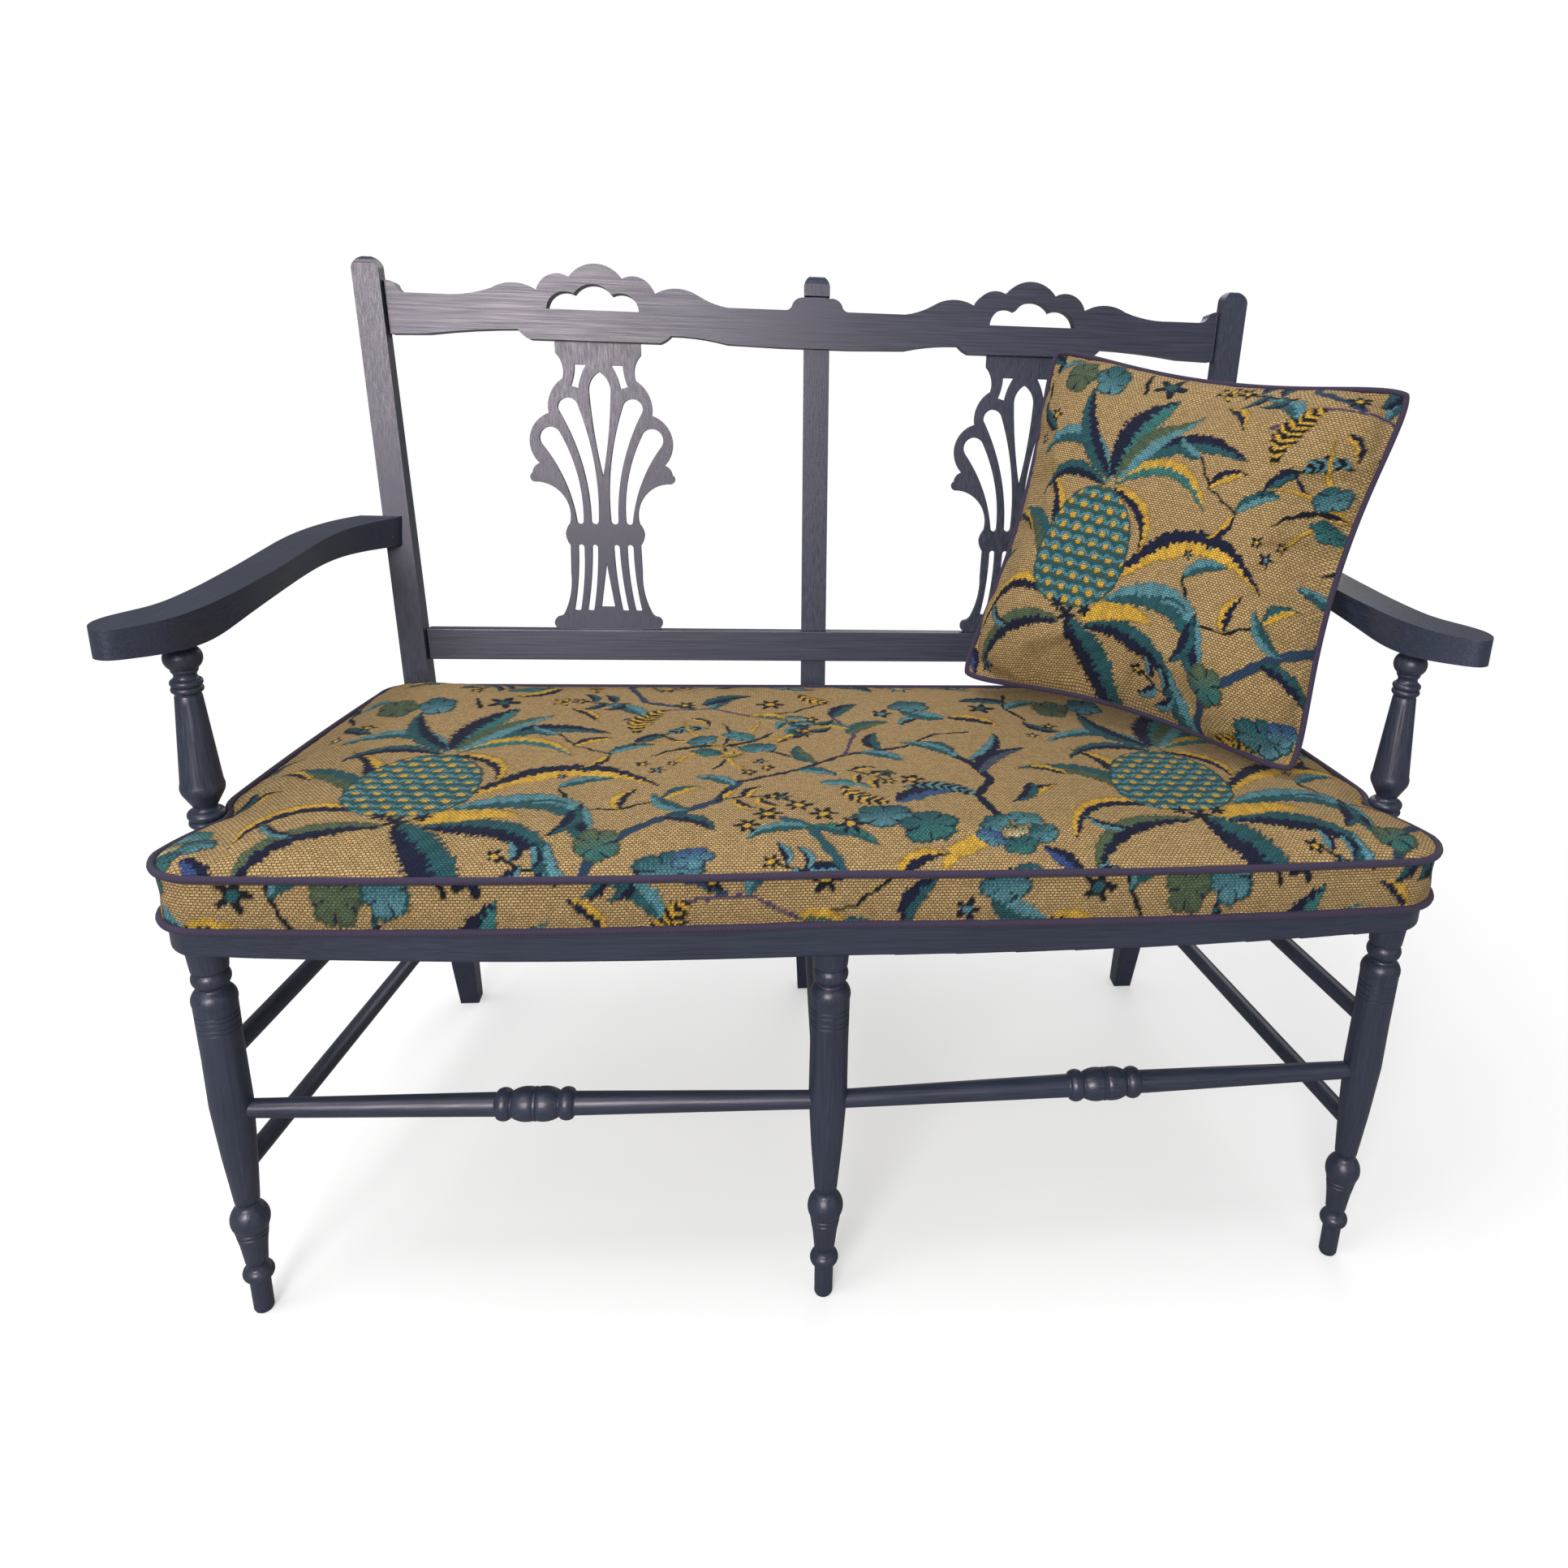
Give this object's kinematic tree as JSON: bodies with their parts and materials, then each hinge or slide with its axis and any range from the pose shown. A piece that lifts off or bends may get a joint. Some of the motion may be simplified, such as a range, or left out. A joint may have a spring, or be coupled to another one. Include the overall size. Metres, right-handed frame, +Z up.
{
  "type": "upholstered bench",
  "caption": "Painted wooden settee bench with pierced back splats, turned legs, open arms, a piped seat cushion and a scatter cushion.",
  "frame": {"origin": "on the floor, under the middle of the bench's outer box", "axes": "+X to the viewer's right as seen from the front, +Y from the front to the back, +Z up"},
  "size_m": [1.092, 0.5574, 0.8865],
  "materials": {
    "paint": "satin paint on beech",
    "raw_wood": "bare",
    "cover_fabric": "woven tapestry",
    "piping": "covered cord",
    "foam": "open cell foam",
    "filling": "fibre pad",
    "zip": "woven tape"
  },
  "bodies": {
    "frame": {"front_leg_left": "paint", "front_leg_middle": "paint", "front_leg_right": "paint", "back_post_left": "paint", "back_post_middle": "paint", "back_post_right": "paint", "top_rail": "paint", "lower_back_rail": "paint", "splat_left": "paint", "splat_right": "paint", "arm_left": "paint", "arm_right": "paint", "arm_baluster_left": "paint", "arm_baluster_right": "paint", "front_stretcher_left": "paint", "front_stretcher_right": "paint", "side_stretcher_upper_left": "paint", "side_stretcher_lower_left": "paint", "side_stretcher_upper_right": "paint", "side_stretcher_lower_right": "paint", "middle_stretcher_upper": "paint", "middle_stretcher_lower": "paint", "back_stretcher_left": "paint", "back_stretcher_right": "paint", "seat_front_rail": "paint", "seat_side_rail_left": "paint", "seat_side_rail_right": "paint", "seat_back_rail_left": "paint", "seat_back_rail_right": "paint", "seat_cross_rail": "raw_wood", "seat_board_left": "raw_wood", "seat_board_right": "raw_wood", "corner_blocks": "raw_wood", "arm_dowel_left": "raw_wood", "arm_dowel_right": "raw_wood"},
    "seat_cushion": {"seat_cushion_cover": "cover_fabric", "seat_cushion_core": "foam", "seat_cushion_piping_top": "piping", "seat_cushion_piping_bottom": "piping", "seat_cushion_zip": "zip"},
    "scatter_cushion": {"scatter_cushion_cover": "cover_fabric", "scatter_cushion_pad": "filling", "scatter_cushion_piping": "piping"}
  },
  "joints": [
    {"name": "seat_cushion_lift", "type": "slide", "parent": "frame", "child": "seat_cushion", "axis": [0, 0, 1], "range_m": [0, 0.12]},
    {"name": "scatter_cushion_lift", "type": "slide", "parent": "seat_cushion", "child": "scatter_cushion", "axis": [0, 0, 1], "range_m": [0, 0.12]}
  ]
}
